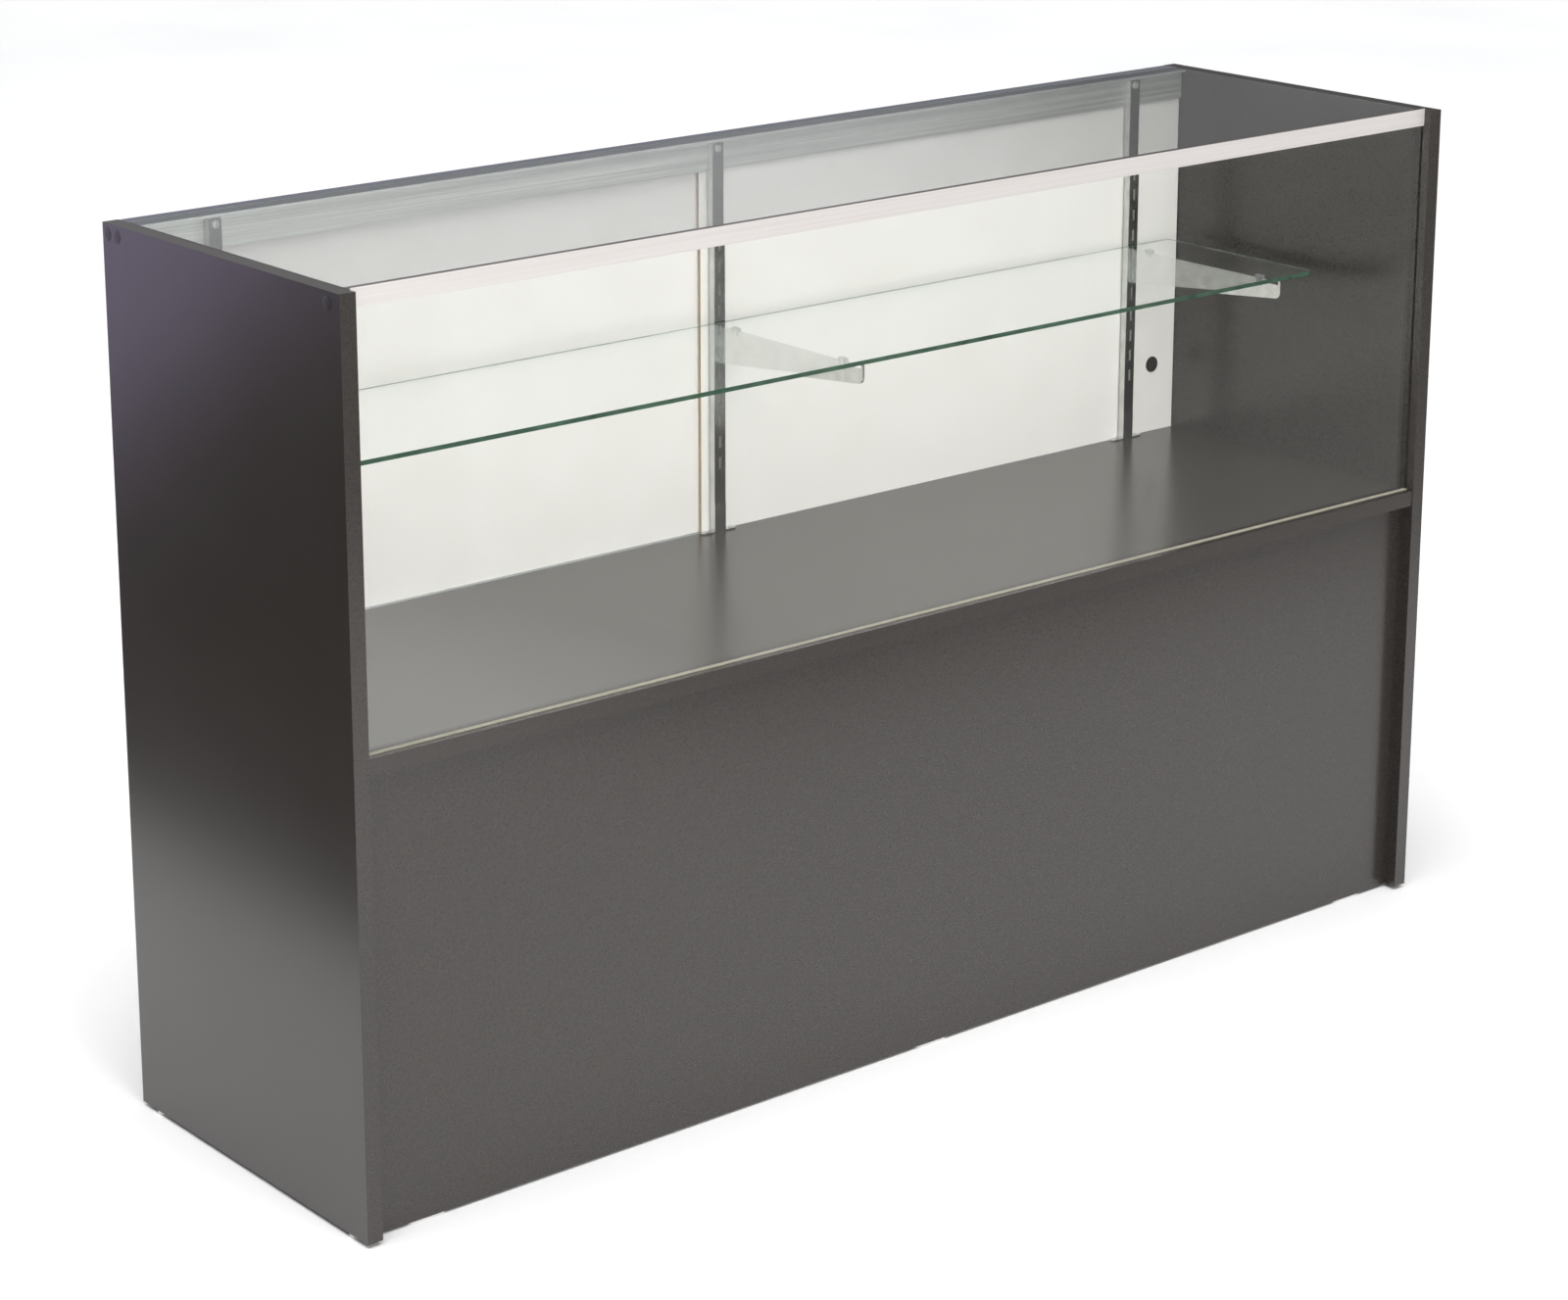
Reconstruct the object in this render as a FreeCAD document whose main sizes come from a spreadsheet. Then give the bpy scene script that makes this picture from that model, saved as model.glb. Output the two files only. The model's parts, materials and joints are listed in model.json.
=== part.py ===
import FreeCAD, Part
import ast
import operator
import os
import re

import Sketcher

# Floor-standing showcase counter: laminated board carcass, glazed upper half, open storage below.
# Frame: X along the counter, -Y is the glazed front, +Z up, origin on the floor under the middle.

doc = FreeCAD.newDocument("ShowcaseCounter")
sheet = doc.addObject("Spreadsheet::Sheet", "Sizes")

sizes = {
    # carcass
    "case_width": 1524,
    "case_depth": 431.8,
    "case_height": 965.2,
    "board_thick": 18,
    "side_glide_thick": 5,
    "side_glide_radius": 8.5,
    "side_glide_inset": 32,
    "deck_height": 508,
    "deck_front_setback": 1,
    "deck_rear_setback": 2,
    "front_panel_setback": 18,
    "front_glide_thick": 2.5,
    "front_glide_length": 46,
    "front_glide_width": 16,
    "front_glide_inset": 66,
    "base_height": 93,
    "base_rear_setback": 20,
    "divider_rear_setback": 30,
    # glazing
    "glass_thick": 5,
    "glass_play": 0.5,
    "glazing_grip": 0.1,
    "glazing_fit": 0.1,
    "front_glass_setback": 11,
    "glass_groove_depth": 6,
    "glazing_wall": 1,
    "glazing_proud": 1,
    "top_glass_gap": 0.5,
    # front top rail
    "rail_wall": 1.5,
    "front_rail_height": 20,
    "front_rail_proud": 2,
    "front_rail_ledge": 16.6,
    "ledge_thick": 3.2,
    "rail_end_length": 10,
    "port_block": 7,
    # rear top rail, which is the upper door track
    "rear_rail_depth": 35.5,
    "rear_rail_setback": 2,
    "rear_ledge_depth": 18,
    "rear_nose": 6.5,
    "rear_rail_height": 41.2,
    "port_band": 10.7,
    "port_front": 3.2,
    "port_rear": 7.6,
    "chamber_wall": 1.4,
    # doors and their tracks
    "door_thick": 3.2,
    "door_play": 0.6,
    "door_overlap": 38,
    "door_end_gap": 1,
    "door_lift_gap": 8.5,
    "door_foot_gap": 0.4,
    "track_wall": 1.6,
    "track_depth": 8,
    "track_floor": 1.5,
    "track_fit": 0.1,
    "cup_radius": 9.8,
    "cup_fit": 0.2,
    "cup_inset": 38,
    "cup_height": 86,
    "cup_proud": 1,
    "cup_flange_radius": 13,
    "cup_flange_thick": 0.8,
    "cup_wall": 1.2,
    # slotted standards
    "standard_pitch": 655,
    "standard_width": 16,
    "standard_depth": 9,
    "standard_wall": 1.5,
    "standard_head_gap": 0.5,
    "standard_screw_drop": 6,
    "foot_height": 34,
    "foot_plate_length": 50,
    "foot_plate_thick": 1.5,
    "foot_corner_flat": 0.2,
    "foot_tongue": 18,
    "tongue_fit": 0.15,
    "foot_screw_offset": 18,
    "slot_first": 82,
    "slot_pitch": 25.4,
    "slot_count": 11,
    "slot_length": 14,
    "slot_width": 3.4,
    # brackets and shelf
    "bracket_slot": 6,
    "bracket_thick": 2.5,
    "bracket_rise": 11.5,
    "bracket_heel": 31.5,
    "bracket_toe": 16,
    "bracket_toe_radius": 8,
    "lip_thick": 3.5,
    "lip_rise": 1,
    "lip_play": 1.5,
    "hook_neck": 7,
    "hook_drop": 5.4,
    "hook_thick": 2.5,
    "hook_play": 0.3,
    "shelf_thick": 5,
    "shelf_length": 1430,
    "shelf_depth": 241,
    "shelf_rear_gap": 2,
    "shelf_corner": 6,
    "rest_rise": 4,
    "rest_drop": 5,
    "rest_length": 13,
    "rest_width": 6,
    "rest_notch": 9,
    "rest_front_inset": 29,
    "rest_rear_inset": 27,
    # fasteners
    "screw_radius": 2,
    "screw_fit": 0.05,
    "screw_head_radius": 4.6,
    "screw_head_thick": 2.6,
    "rail_screw_reach": 24,
    "cap_radius": 7,
    "cap_thick": 2.4,
    "cap_fit": 0.1,
    "foot_screw_radius": 1.6,
    "foot_screw_length": 14,
    "foot_head_radius": 3,
    "foot_head_thick": 1.4,
    "cam_radius": 7.4,
    "cam_depth": 12.5,
    "cam_inset": 34,
    "cam_fit": 0.1,
    "cam_bolt_radius": 3,
    "cam_bolt_grip": 11,
    "cam_row": 120,
    "dowel_radius": 4,
    "dowel_length": 30,
    "dowel_row": 165,
    "panel_cam_row": 160,
}

for row, (alias, number) in enumerate(sizes.items(), start=1):
    sheet.set(f"A{row}", alias)
    sheet.set(f"B{row}", str(number))
    sheet.setAlias(f"B{row}", alias)
doc.recompute()

# Places worked out from the sizes, each written once.
places = {
    "inner_half": "case_width / 2 - board_thick",
    "front_edge": "-case_depth / 2",
    "rear_edge": "case_depth / 2",
    "panel_top": "case_height",
    "panel_height": "case_height - side_glide_thick",
    "deck_top": "deck_height",
    "deck_under": "deck_top - board_thick",
    "deck_front": "front_edge + deck_front_setback",
    "deck_rear": "rear_edge - deck_rear_setback",
    "panel_front": "front_edge + front_panel_setback",
    "panel_back": "panel_front + board_thick",
    "base_top": "base_height",
    "base_under": "base_top - board_thick",
    "base_rear": "rear_edge - base_rear_setback",
    "glass_front": "front_edge + front_glass_setback",
    "glass_back": "glass_front + glass_thick",
    "glass_slot": "glass_thick + 2 * glass_play",
    "glass_foot": "deck_top - glass_groove_depth + glazing_wall",
    "glazing_inner": "glass_thick + 2 * glazing_grip",
    "glazing_outer": "glazing_inner + 2 * glazing_wall",
    "glazing_front": "glass_front - glazing_grip - glazing_wall",
    "top_glass_under": "panel_top - glass_thick",
    "ledge_under": "top_glass_under - ledge_thick",
    "front_rail_face": "glass_front - glass_play - rail_wall",
    "front_rail_top": "panel_top + front_rail_proud",
    "front_rail_foot": "front_rail_top - front_rail_height",
    "front_port_y": "glass_back + glass_play + rail_wall + port_block / 2",
    "front_port_z": "ledge_under - port_block / 2",
    "rear_rail_back": "rear_edge - rear_rail_setback",
    "rear_rail_nose": "rear_rail_back - rear_rail_depth",
    "rear_rail_face": "rear_rail_nose + rear_nose",
    "rear_step": "rear_rail_nose + rear_ledge_depth",
    "rear_rail_foot": "panel_top - rear_rail_height",
    "port_band_foot": "top_glass_under - port_band",
    "rear_port_front": "rear_rail_face + port_front",
    "rear_port_rear": "rear_rail_back - port_rear",
    "rear_port_z": "ledge_under - screw_radius - 1",
    "door_slot": "door_thick + 2 * door_play",
    "inner_slot": "rear_rail_face + track_wall",
    "outer_slot": "inner_slot + door_slot + track_wall",
    "track_back": "outer_slot + door_slot + track_wall",
    "inner_door_face": "inner_slot + door_play",
    "outer_door_face": "outer_slot + door_play",
    "door_foot": "deck_top - track_depth + track_floor + door_foot_gap",
    "door_head": "port_band_foot - door_lift_gap",
    "door_width": "inner_half + door_overlap / 2 - door_end_gap",
    "standard_face": "rear_rail_face - standard_depth",
    "standard_head": "ledge_under - standard_head_gap",
    "standard_foot": "deck_top + foot_height",
    "standard_screw_z": "standard_head - standard_screw_drop",
    "hook_seat": "deck_top + slot_first + bracket_slot * slot_pitch - slot_length / 2 + 0.1",
    "blade_top": "hook_seat + bracket_rise",
    "shelf_under": "blade_top + rest_rise",
    "shelf_rear": "standard_face - shelf_rear_gap",
    "shelf_front": "shelf_rear - shelf_depth",
}


def spell(text):
    """The expression with each place written out in the sheet's cells."""

    def swap(found):
        word = found.group(0)
        if word in places:
            return "(" + spell(places[word]) + ")"
        return "Sizes." + word if word in sizes else word

    return re.sub(r"[a-z_]+[a-z]", swap, text)


def bind(piece, **bonds):
    """Ties properties to expressions; x, y and z stand for the place."""
    for key, text in bonds.items():
        path = f"Placement.Base.{key}" if key in ("x", "y", "z") else key
        piece.setExpression(path, spell(text))
    return piece


def block(name, x, y, z, length, width, height):
    """A box from its low corner."""
    piece = doc.addObject("Part::Box", name)
    return bind(piece, x=x, y=y, z=z, Length=length, Width=width, Height=height)


turns = {
    "z": FreeCAD.Rotation(),
    "x": FreeCAD.Rotation(FreeCAD.Vector(0, 1, 0), 90),
    "y": FreeCAD.Rotation(FreeCAD.Vector(1, 0, 0), -90),
}


def rod(name, axis, x, y, z, radius, length):
    """A cylinder that runs from its place in the positive direction of the axis."""
    piece = doc.addObject("Part::Cylinder", name)
    piece.Placement = FreeCAD.Placement(FreeCAD.Vector(), turns[axis])
    return bind(piece, x=x, y=y, z=z, Radius=radius, Height=length)


def group(name, pieces):
    """Separate solids kept together as one sub-part."""
    piece = doc.addObject("Part::Compound", name)
    piece.Links = pieces
    return piece


def joined(name, pieces):
    piece = doc.addObject("Part::MultiFuse", name)
    piece.Shapes = pieces
    piece.Refine = True
    return piece


def cut(name, stock, tools):
    """The stock less all the tools."""
    piece = doc.addObject("Part::Cut", name)
    piece.Base = stock
    piece.Tool = tools[0] if len(tools) == 1 else group(name + "_tools", tools)
    return piece


def outline(sketch, corners):
    """A closed loop of straight edges with both coordinates of every corner bound."""
    count = len(corners)
    first = sketch.GeometryCount
    here = [FreeCAD.Vector(read(u), read(w), 0) for u, w in corners]
    for i in range(count):
        sketch.addGeometry(Part.LineSegment(here[i], here[(i + 1) % count]), False)
    for i in range(count):
        after = first + (i + 1) % count
        sketch.addConstraint(Sketcher.Constraint("Coincident", first + i, 2, after, 1))
    for i, (u, w) in enumerate(corners):
        for kind, text in (("DistanceX", u), ("DistanceY", w)):
            rule = Sketcher.Constraint(kind, -1, 1, first + i, 1, read(text))
            at = sketch.addConstraint(rule)
            sketch.setExpression(f"Constraints[{at}]", spell(text))


def ring(sketch, u, w, radius):
    """A circle with its centre and radius bound."""
    middle = FreeCAD.Vector(read(u), read(w), 0)
    circle = Part.Circle(middle, FreeCAD.Vector(0, 0, 1), read(radius))
    geo = sketch.addGeometry(circle, False)
    for kind, text in (("DistanceX", u), ("DistanceY", w)):
        at = sketch.addConstraint(Sketcher.Constraint(kind, -1, 1, geo, 3, read(text)))
        sketch.setExpression(f"Constraints[{at}]", spell(text))
    at = sketch.addConstraint(Sketcher.Constraint("Radius", geo, read(radius)))
    sketch.setExpression(f"Constraints[{at}]", spell(radius))


signs = {ast.Add: operator.add, ast.Sub: operator.sub, ast.Mult: operator.mul, ast.Div: operator.truediv}


def worth(branch):
    """The number that a branch of an expression comes to at the present sizes."""
    if isinstance(branch, ast.BinOp):
        return signs[type(branch.op)](worth(branch.left), worth(branch.right))
    if isinstance(branch, ast.UnaryOp):
        return -worth(branch.operand)
    if isinstance(branch, ast.Name):
        return read(places[branch.id]) if branch.id in places else float(sizes[branch.id])
    return float(branch.value)


def read(text):
    """The number an expression comes to, for placing sketch lines before they are constrained."""
    return worth(ast.parse(text.strip()).body[0].value)


def body(name, plane, loops, rings, length, x="0", y="0", z="0"):
    """A profile on one of the body's own planes, padded by a length."""
    part = doc.addObject("PartDesign::Body", name)
    sketch = profile(part, name + "_profile", plane)
    for corners in loops:
        outline(sketch, corners)
    for u, w, radius in rings:
        ring(sketch, u, w, radius)
    pad = part.newObject("PartDesign::Pad", name + "_pad")
    pad.Profile = sketch
    pad.setExpression("Length", spell(length))
    bind(part, x=x, y=y, z=z)
    return part


def profile(part, name, plane):
    """A sketch on one of the body's origin planes."""
    sketch = part.newObject("Sketcher::SketchObject", name)
    flat = [f for f in part.Origin.OriginFeatures if f.Role == plane][0]
    sketch.AttachmentSupport = [(flat, "")]
    sketch.MapMode = "FlatFace"
    return sketch


def rounded(part, name, radius, chosen):
    """Rounds the edges of the body's last feature that the test picks."""
    doc.recompute()
    last = part.Tip
    edges = [f"Edge{i}" for i, e in enumerate(last.Shape.Edges, start=1) if chosen(e)]
    fillet = part.newObject("PartDesign::Fillet", name)
    fillet.Base = (last, edges)
    fillet.setExpression("Radius", spell(radius))
    return fillet


def upright(edge):
    """True for an edge that runs along Z."""
    low, high = edge.Vertexes[0].Point, edge.Vertexes[-1].Point
    return abs(low.x - high.x) < 1e-6 and abs(low.y - high.y) < 1e-6


# A rectangle's four corners from two opposite ones.
def frame_of(u0, w0, u1, w1):
    return [(u0, w0), (u1, w0), (u1, w1), (u0, w1)]


nodes = {}


def keep(name, piece):
    """Files a finished sub-part under its own name."""
    piece.Label = name
    nodes[name] = piece
    return piece


sides = {"left": -1, "right": 1}


def side_x(sign, inner, size):
    """Low X of something that reaches from the inner distance outwards by size, on either side."""
    return f"({inner})" if sign > 0 else f"-({inner}) - ({size})"


# The places where screws go through a side panel into the ends of the rails.
rail_screws = (
    ("front_port_y", "front_port_z"),
    ("rear_port_front", "rear_port_z"),
    ("rear_port_rear", "rear_port_z"),
)


def make_side_panels():
    """Full-height end boards: a groove for the front glass, counterbored rail screw holes, cam bolt holes."""
    for side, sign in sides.items():
        stock = block(
            f"{side}_board", side_x(sign, "inner_half", "board_thick"), "front_edge", "side_glide_thick",
            "board_thick", "case_depth", "panel_height",
        )
        groove = block(
            f"{side}_groove", side_x(sign, "inner_half", "glass_groove_depth"), "glass_front - glass_play",
            "deck_top - glass_groove_depth", "glass_groove_depth", "glass_slot",
            "ledge_under - deck_top + glass_groove_depth",
        )
        tools = [groove]
        pocket = "cap_thick + screw_head_thick"
        for i, (y, z) in enumerate(rail_screws):
            tools.append(rod(
                f"{side}_screw_way_{i}", "x", side_x(sign, "inner_half", "board_thick"), y, z,
                "screw_radius + screw_fit", "board_thick",
            ))
            tools.append(rod(
                f"{side}_cap_seat_{i}", "x", side_x(sign, f"inner_half + board_thick - ({pocket})", pocket),
                y, z, "cap_radius + cap_fit", pocket,
            ))
        for i, (y, z) in enumerate(bolt_places()):
            tools.append(rod(
                f"{side}_bolt_seat_{i}", "x", side_x(sign, "inner_half", "cam_bolt_grip + cam_fit"), y, z,
                "cam_bolt_radius + cam_fit", "cam_bolt_grip + cam_fit",
            ))
        for i, (y, z) in enumerate(dowel_places()):
            tools.append(rod(
                f"{side}_dowel_seat_{i}", "x", side_x(sign, "inner_half", "dowel_length / 3 + cam_fit"), y, z,
                "dowel_radius + cam_fit", "dowel_length / 3 + cam_fit",
            ))
        keep(f"side_panel_{side}", cut(f"side_panel_{side}", stock, tools))


def board_rows():
    """The two level boards whose ends are held to the side panels, by the height of their mid-thickness."""
    return ("deck_under + board_thick / 2", "base_under + board_thick / 2")


def bolt_places():
    level = [(y, z) for z in board_rows() for y in ("-cam_row", "cam_row")]
    middle = "panel_front + board_thick / 2"
    height = "(front_glide_thick + deck_under) / 2"
    return level + [(middle, f"{height} - panel_cam_row"), (middle, f"{height} + panel_cam_row")]


def dowel_places():
    return [(y, z) for z in board_rows() for y in ("-dowel_row", "0", "dowel_row")]


def level_board_tools(name, height):
    """Cam pockets from below, bolt bores and dowel bores for both ends of a level board."""
    tools = []
    for side, sign in sides.items():
        for i, y in enumerate(("-cam_row", "cam_row")):
            x = f"{sign} * (inner_half - cam_inset)"
            under = f"{height} - board_thick / 2"
            tools.append(rod(f"{name}_cam_{side}_{i}", "z", x, y, under, "cam_radius + cam_fit", "cam_depth"))
            tools.append(rod(
                f"{name}_bolt_{side}_{i}", "x", side_x(sign, "inner_half - cam_inset", "cam_inset"), y, height,
                "cam_bolt_radius + cam_fit", "cam_inset",
            ))
        for i, y in enumerate(("-dowel_row", "0", "dowel_row")):
            depth = "dowel_length * 2 / 3 + cam_fit"
            tools.append(rod(
                f"{name}_dowel_{side}_{i}", "x", side_x(sign, f"inner_half - ({depth})", depth), y, height,
                "dowel_radius + cam_fit", depth,
            ))
    return tools


def make_deck():
    """The display floor, with a front groove for the glazing channel and a rear one for the door track."""
    stock = block(
        "deck_board", "-inner_half", "deck_front", "deck_under",
        "2 * inner_half", "deck_rear - (deck_front)", "board_thick",
    )
    front = block(
        "deck_glass_groove", "-inner_half", "glazing_front - glazing_fit",
        "deck_top - glass_groove_depth", "2 * inner_half", "glazing_outer + 2 * glazing_fit",
        "glass_groove_depth",
    )
    rear = block(
        "deck_track_groove", "-inner_half", "rear_rail_face - track_fit", "deck_top - track_depth",
        "2 * inner_half", "track_back - (rear_rail_face) + 2 * track_fit", "track_depth",
    )
    tools = [front, rear] + level_board_tools("deck", board_rows()[0])
    for i, x in enumerate(foot_screw_rows()):
        tools.append(rod(
            f"deck_pilot_{i}", "z", x, "foot_screw_y", "deck_top - foot_screw_length",
            "foot_screw_radius + screw_fit", "foot_screw_length",
        ))
    keep("deck_panel", cut("deck_panel", stock, tools))


places["foot_screw_y"] = "standard_face + standard_depth / 2"


def standard_rows():
    return {"left": "-standard_pitch", "centre": "0", "right": "standard_pitch"}


def foot_screw_rows():
    """X of the two tab screws of every standard's foot."""
    return [f"{x} + {s} * foot_screw_offset" for x in standard_rows().values() for s in (-1, 1)]


def make_boards():
    """The boards of the lower half: closed front, storage floor, middle divider and rear kick rail."""
    stock = block(
        "front_board", "-inner_half", "panel_front", "front_glide_thick",
        "2 * inner_half", "board_thick", "deck_under - front_glide_thick",
    )
    tools = []
    for side, sign in sides.items():
        for i, (y, z) in enumerate(bolt_places()[-2:]):
            tools.append(rod(
                f"front_bolt_{side}_{i}", "x", side_x(sign, "inner_half - cam_inset", "cam_inset"), y, z,
                "cam_bolt_radius + cam_fit", "cam_inset",
            ))
            tools.append(rod(
                f"front_cam_{side}_{i}", "y", f"{sign} * (inner_half - cam_inset)", "panel_back - cam_depth", z,
                "cam_radius + cam_fit", "cam_depth",
            ))
    keep("lower_front_panel", cut("lower_front_panel", stock, tools))
    floor = block(
        "floor_board", "-inner_half", "panel_back", "base_under",
        "2 * inner_half", "base_rear - (panel_back)", "board_thick",
    )
    keep("storage_floor", cut("storage_floor", floor, level_board_tools("floor", board_rows()[1])))
    keep("storage_divider", block(
        "storage_divider", "-board_thick / 2", "panel_back", "base_top",
        "board_thick", "rear_edge - divider_rear_setback - (panel_back)", "deck_under - base_top",
    ))
    keep("rear_kick_rail", block(
        "rear_kick_rail", "-inner_half", "base_rear - board_thick", "side_glide_thick",
        "2 * inner_half", "board_thick", "base_under - side_glide_thick",
    ))


def make_glides():
    """Nail-on plastic glides under the side panels and flat ones under the front panel."""
    for side, sign in sides.items():
        x = f"{sign} * (inner_half + board_thick / 2)"
        pair = []
        for i, y in enumerate(("front_edge + side_glide_inset", "rear_edge - side_glide_inset")):
            pair.append(rod(f"{side}_glide_{i}", "z", x, y, "0", "side_glide_radius", "side_glide_thick"))
        keep(f"side_glides_{side}", group(f"side_glides_{side}", pair))
    strips = []
    y = "panel_front + (board_thick - front_glide_width) / 2"
    for i, x in enumerate(("-inner_half + front_glide_inset", "0", "inner_half - front_glide_inset")):
        strips.append(block(
            f"front_glide_{i}", f"{x} - front_glide_length / 2", y, "0",
            "front_glide_length", "front_glide_width", "front_glide_thick",
        ))
    keep("front_panel_glides", group("front_panel_glides", strips))


def make_glass():
    """Front pane in its grooves, and the top pane on the ledges of the two rails."""
    reach = "inner_half + glass_groove_depth - glass_play"
    keep("front_glass", block(
        "front_glass", f"-({reach})", "glass_front", "glass_foot",
        f"2 * ({reach})", "glass_thick", "ledge_under - glass_play - (glass_foot)",
    ))
    back = "rear_step - top_glass_gap"
    front = "front_rail_face + rail_wall + top_glass_gap"
    keep("top_glass", block(
        "top_glass", "-inner_half + top_glass_gap", front, "top_glass_under",
        "2 * (inner_half - top_glass_gap)", f"{back} - ({front})", "glass_thick",
    ))


def make_glazing_channel():
    """The thin U-shaped strip that the front glass stands in."""
    outer = "glazing_outer"
    inner = "(glazing_outer - glazing_wall)"
    high = "(glass_groove_depth + glazing_proud)"
    corners = [
        ("0", "0"), (outer, "0"), (outer, high), (inner, high), (inner, "glazing_wall"),
        ("glazing_wall", "glazing_wall"), ("glazing_wall", high), ("0", high),
    ]
    keep("glazing_channel", body(
        "glazing_channel", "YZ_Plane", [corners], [], "2 * inner_half", x="-inner_half",
        y="glazing_front", z="deck_top - glass_groove_depth",
    ))


def make_front_rail():
    """The top front extrusion: face, glass channel below, ledge for the top pane, and a screw port."""
    wall = "rail_wall"
    slot = "(rail_wall + glass_slot)"
    rear = "(2 * rail_wall + glass_slot)"
    block_end = "(2 * rail_wall + glass_slot + port_block)"
    ledge_end = "(rail_wall + front_rail_ledge)"
    under = "(ledge_under - (front_rail_foot))"
    top = "(top_glass_under - (front_rail_foot))"
    corners = [
        ("0", "0"), (wall, "0"), (wall, under), (slot, under), (slot, "0"), (rear, "0"),
        (rear, f"{under} - port_block"), (block_end, f"{under} - port_block"), (block_end, under),
        (ledge_end, under), (ledge_end, top), (wall, top), (wall, "front_rail_height"),
        ("0", "front_rail_height"),
    ]
    port = ("front_port_y - (front_rail_face)", "front_port_z - (front_rail_foot)", "screw_radius + screw_fit")
    keep("front_top_rail", body(
        "front_top_rail", "YZ_Plane", [corners], [port], "2 * (inner_half - rail_end_length)",
        x="-inner_half + rail_end_length", y="front_rail_face", z="front_rail_foot",
    ))
    for side, sign in sides.items():
        # The plug fills the rail's outline at its end, and lets the glass and the screw pass.
        part = body(
            f"rail_end_{side}", "YZ_Plane", [corners], [port], "rail_end_length",
            x=side_x(sign, "inner_half - rail_end_length", "rail_end_length"), y="front_rail_face",
            z="front_rail_foot",
        )
        keep(f"front_rail_end_{side}", part)


def make_rear_rail():
    """The top rear extrusion: glass ledge, step, screw ports, and the upper track for both doors."""
    face = "rear_nose"
    depth = "rear_rail_depth"
    top = "rear_rail_height"
    step = "rear_ledge_depth"
    ledge = "(top_glass_under - (rear_rail_foot))"
    under = "(ledge_under - (rear_rail_foot))"
    band = "(port_band_foot - (rear_rail_foot))"
    septum = "(rear_nose + track_wall + door_slot)"
    back = "(rear_nose + 2 * track_wall + 2 * door_slot)"
    corners = [
        ("0", under), (face, under), (face, "0"), ("(rear_nose + track_wall)", "0"),
        ("(rear_nose + track_wall)", band), (septum, band), (septum, "0"),
        (f"({septum} + track_wall)", "0"), (f"({septum} + track_wall)", band), (back, band), (back, "0"),
        (f"({back} + track_wall)", "0"), (f"({back} + track_wall)", band), (depth, band), (depth, top),
        (step, top), (step, ledge), ("0", ledge),
    ]
    z = "rear_port_z - (rear_rail_foot)"
    ports = [
        ("rear_port_front - (rear_rail_nose)", z, "screw_radius + screw_fit"),
        ("rear_port_rear - (rear_rail_nose)", z, "screw_radius + screw_fit"),
    ]
    chamber = frame_of(
        "rear_port_front - (rear_rail_nose) + screw_radius + 2 * chamber_wall", f"{band} + chamber_wall",
        "rear_port_rear - (rear_rail_nose) - screw_radius - 2 * chamber_wall", f"{ledge} - chamber_wall",
    )
    stock = body(
        "rear_rail_bar", "YZ_Plane", [corners, chamber], ports, "2 * inner_half",
        x="-inner_half", y="rear_rail_nose", z="rear_rail_foot",
    )
    tools = []
    for name, x in standard_rows().items():
        tools.append(rod(
            f"rail_pilot_{name}", "y", x, "rear_rail_face", "standard_screw_z",
            "screw_radius + screw_fit", "standard_screw_reach",
        ))
    keep("rear_top_rail", cut("rear_top_rail", stock, tools))


places["standard_screw_reach"] = "track_wall + door_slot"


def make_lower_track():
    """The E-shaped track let into the deck, its three walls in line with the rail's."""
    wide = "(3 * track_wall + 2 * door_slot)"
    first = "track_wall"
    second = "(track_wall + door_slot)"
    third = "(2 * track_wall + door_slot)"
    fourth = "(2 * track_wall + 2 * door_slot)"
    high = "track_depth"
    low = "track_floor"
    corners = [
        ("0", "0"), (wide, "0"), (wide, high), (fourth, high), (fourth, low), (third, low), (third, high),
        (second, high), (second, low), (first, low), (first, high), ("0", high),
    ]
    keep("lower_door_track", body(
        "lower_door_track", "YZ_Plane", [corners], [], "2 * inner_half", x="-inner_half",
        y="rear_rail_face", z="deck_top - track_depth",
    ))


def make_doors():
    """Two sliding hardboard doors, the right one in the inner slot, each with a blind finger cup."""
    for side, sign in sides.items():
        face = "inner_door_face" if sign > 0 else "outer_door_face"
        x = side_x(sign, "inner_half - door_end_gap - door_width", "door_width")
        cup_x = f"{sign} * (inner_half - door_end_gap - cup_inset)"
        cup_z = "deck_top + cup_height"
        part = body(
            f"{side}_door_leaf", "XZ_Plane",
            [frame_of("0", "0", "door_width", "door_head - (door_foot)")],
            [(f"{cup_x} - ({x})", f"{cup_z} - (door_foot)", "cup_radius + cup_fit")],
            "door_thick", x=x, y=f"{face} + door_thick", z="door_foot",
        )
        keep(f"sliding_door_{side}", part)
        barrel = rod(
            f"{side}_cup_barrel", "y", cup_x, f"{face} - cup_proud", cup_z,
            "cup_radius", "cup_proud + door_thick",
        )
        flange = rod(
            f"{side}_cup_flange", "y", cup_x, f"{face} + door_thick", cup_z,
            "cup_flange_radius", "cup_flange_thick",
        )
        hollow = rod(
            f"{side}_cup_hollow", "y", cup_x, f"{face} - cup_proud + cup_wall", cup_z,
            "cup_radius - cup_wall", "cup_proud + door_thick + cup_flange_thick - cup_wall",
        )
        solid = joined(f"{side}_cup_solid", [barrel, flange])
        keep(f"finger_cup_{side}", cut(f"finger_cup_{side}", solid, [hollow]))


def channel_corners(wide, deep, wall):
    """A U section, open at the back, centred on X."""
    half = f"({wide}) / 2"
    inner = f"(({wide}) / 2 - ({wall}))"
    return [
        (f"-{half}", "0"), (half, "0"), (half, deep), (inner, deep), (inner, wall),
        (f"-{inner}", wall), (f"-{inner}", deep), (f"-{half}", deep),
    ]


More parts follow.
